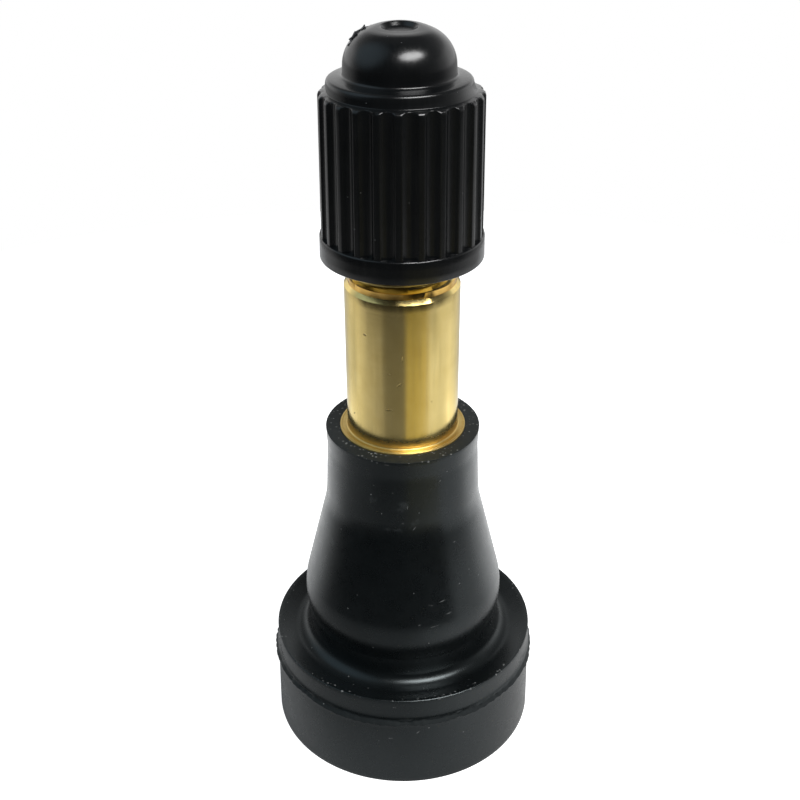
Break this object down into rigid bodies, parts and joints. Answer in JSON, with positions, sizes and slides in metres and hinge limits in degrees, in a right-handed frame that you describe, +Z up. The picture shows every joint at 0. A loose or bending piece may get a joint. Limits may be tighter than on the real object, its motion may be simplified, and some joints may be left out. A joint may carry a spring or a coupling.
{
  "type": "tyre valve",
  "caption": "Snap-in rubber tyre valve: flanged rubber body on a brass stem with a sprung core and a fluted plastic screw cap.",
  "frame": {"origin": "centre of the flange's lower face", "axes": "+Z up along the stem, from the flange to the cap"},
  "size_m": [0.0212, 0.0212, 0.0553],
  "materials": {
    "base_rubber": "semi-matte moulded black rubber",
    "stem_brass": "satin turned pale brass",
    "core_brass": "bright turned brass",
    "seal_ring": "smooth red sealing ring",
    "spring_steel": "drawn spring wire",
    "seal_rubber": "matte black rubber",
    "cap_plastic": "gloss black moulded plastic"
  },
  "bodies": {
    "valve": {"rubber_base": "base_rubber", "stem": "stem_brass", "core_plug": "core_brass", "core_barrel": "core_brass", "core_seal": "seal_ring", "core_spring": "spring_steel"},
    "pin": {"core_pin": "core_brass", "spring_collar": "core_brass", "pin_cup": "core_brass", "cup_washer": "seal_rubber"},
    "washer": {"cap_seal": "seal_rubber"},
    "cap": {"dust_cap": "cap_plastic"}
  },
  "joints": [
    {"name": "pin_press", "type": "slide", "parent": "valve", "child": "pin", "axis": [0, 0, -1], "range_m": [0, 0.0012], "stiffness_N_per_m": 600, "springref_m": -0.005, "deforming": ["core_spring"]},
    {"name": "cap_lift", "type": "slide", "parent": "valve", "child": "washer", "axis": [0, 0, 1], "range_m": [0, 0.00952]},
    {"name": "cap_turn", "type": "hinge", "parent": "washer", "child": "cap", "pos_m": [0, 0, 0.045], "axis": [0, 0, 1], "range_deg": [0, 4322]}
  ],
  "couplings": [
    {"joint": "cap_turn", "follows": "cap_lift", "rad_per_m": 7915.8}
  ]
}
